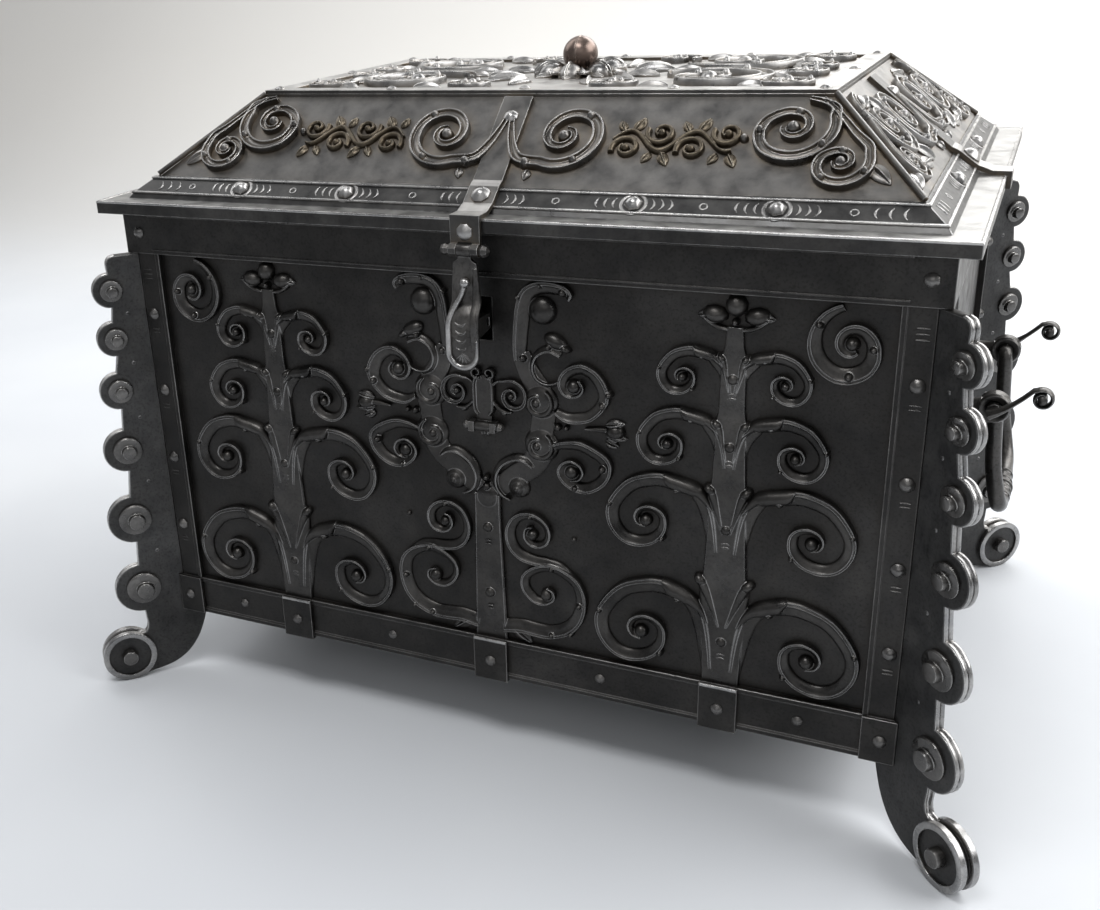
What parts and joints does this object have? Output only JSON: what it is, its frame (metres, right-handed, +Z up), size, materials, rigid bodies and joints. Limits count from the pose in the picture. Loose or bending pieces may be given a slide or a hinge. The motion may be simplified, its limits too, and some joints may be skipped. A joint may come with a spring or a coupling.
{
  "type": "coffer chest",
  "caption": "Wrought-iron coffer chest: sheet box with scrolled front, raised hinged lid, hasp and lock bolt, flip-down keyhole cover, lobed corner fins on rolled feet, side bail handles.",
  "frame": {"origin": "on the floor under the middle of the box", "axes": "+Z up, the front faces -Y, +X along the front to the right as seen from the front"},
  "size_m": [0.8792, 0.6422, 0.627],
  "materials": {
    "dark_iron": "blackened wrought iron, waxed, worn grey at the edges",
    "ornament_iron": "dark forged iron with bright rubbed edges",
    "lid_iron": "grey worn iron with pale dust in the recesses",
    "worn_steel": "polished by wear, dark in the grooves",
    "handle_iron": "smooth dark iron, polished by hands",
    "bronze": "brown patinated bronze"
  },
  "bodies": {
    "chest": {"front_plate": "dark_iron", "back_plate": "dark_iron", "left_plate": "dark_iron", "right_plate": "dark_iron", "bottom_plate": "dark_iron", "top_rail_front": "dark_iron", "top_rail_back": "dark_iron", "top_rails_side": "dark_iron", "bottom_rail_front": "dark_iron", "bottom_rail_back": "dark_iron", "bottom_rails_side": "dark_iron", "corner_posts_front": "dark_iron", "corner_posts_back": "dark_iron", "corner_brackets": "dark_iron", "stem_clips": "dark_iron", "corner_fin_front_left": "worn_steel", "corner_fin_front_right": "worn_steel", "corner_fin_back_left": "worn_steel", "corner_fin_back_right": "worn_steel", "tree_scroll_left": "ornament_iron", "tree_scroll_right": "ornament_iron", "centre_scroll": "ornament_iron", "corner_scrolls": "ornament_iron", "frame_rivets": "ornament_iron", "handle_eyes": "handle_iron", "lock_case": "dark_iron", "keyhole_pin": "worn_steel", "hinge_leaves_box": "dark_iron", "hinge_pins": "worn_steel"},
    "lid": {"lid_rim_front": "lid_iron", "lid_rim_back": "lid_iron", "lid_rim_sides": "lid_iron", "lid_band_front": "lid_iron", "lid_band_back": "lid_iron", "lid_band_sides": "lid_iron", "lid_slope_front": "lid_iron", "lid_slope_back": "lid_iron", "lid_slope_sides": "lid_iron", "lid_top_plate": "lid_iron", "top_frame_strips": "lid_iron", "top_scrollwork": "lid_iron", "rosette": "lid_iron", "knob": "bronze", "strap_front": "worn_steel", "strap_back": "lid_iron", "strap_sides": "lid_iron", "hip_strips": "lid_iron", "slope_scrolls": "lid_iron", "lid_rivets": "lid_iron", "hinge_leaves_lid": "lid_iron", "hasp_pin": "worn_steel"},
    "hasp": {"hasp": "worn_steel"},
    "lock_bolt": {"lock_bolt": "worn_steel"},
    "keyhole_cover": {"keyhole_cover": "ornament_iron"},
    "handle_right": {"handle_right": "handle_iron"},
    "handle_left": {"handle_left": "handle_iron"}
  },
  "joints": [
    {"name": "lid_hinge", "type": "hinge", "parent": "chest", "child": "lid", "pos_m": [0, 0.278, 0.494], "axis": [-1, 0, 0], "range_deg": [0, 95]},
    {"name": "hasp_hinge", "type": "hinge", "parent": "lid", "child": "hasp", "pos_m": [0, -0.275, 0.4843], "axis": [-1, 0, 0], "range_deg": [-12, 130]},
    {"name": "cover_hinge", "type": "hinge", "parent": "chest", "child": "keyhole_cover", "pos_m": [0, -0.251, 0.324], "axis": [1, 0, 0], "range_deg": [0, 165]},
    {"name": "bolt_slide", "type": "slide", "parent": "chest", "child": "lock_bolt", "axis": [-1, 0, 0], "range_m": [0, 0.016]},
    {"name": "handle_right_hinge", "type": "hinge", "parent": "chest", "child": "handle_right", "pos_m": [0.395, 0, 0.329], "axis": [0, -1, 0], "range_deg": [0, 105]},
    {"name": "handle_left_hinge", "type": "hinge", "parent": "chest", "child": "handle_left", "pos_m": [-0.395, 0, 0.329], "axis": [0, 1, 0], "range_deg": [0, 105]}
  ]
}
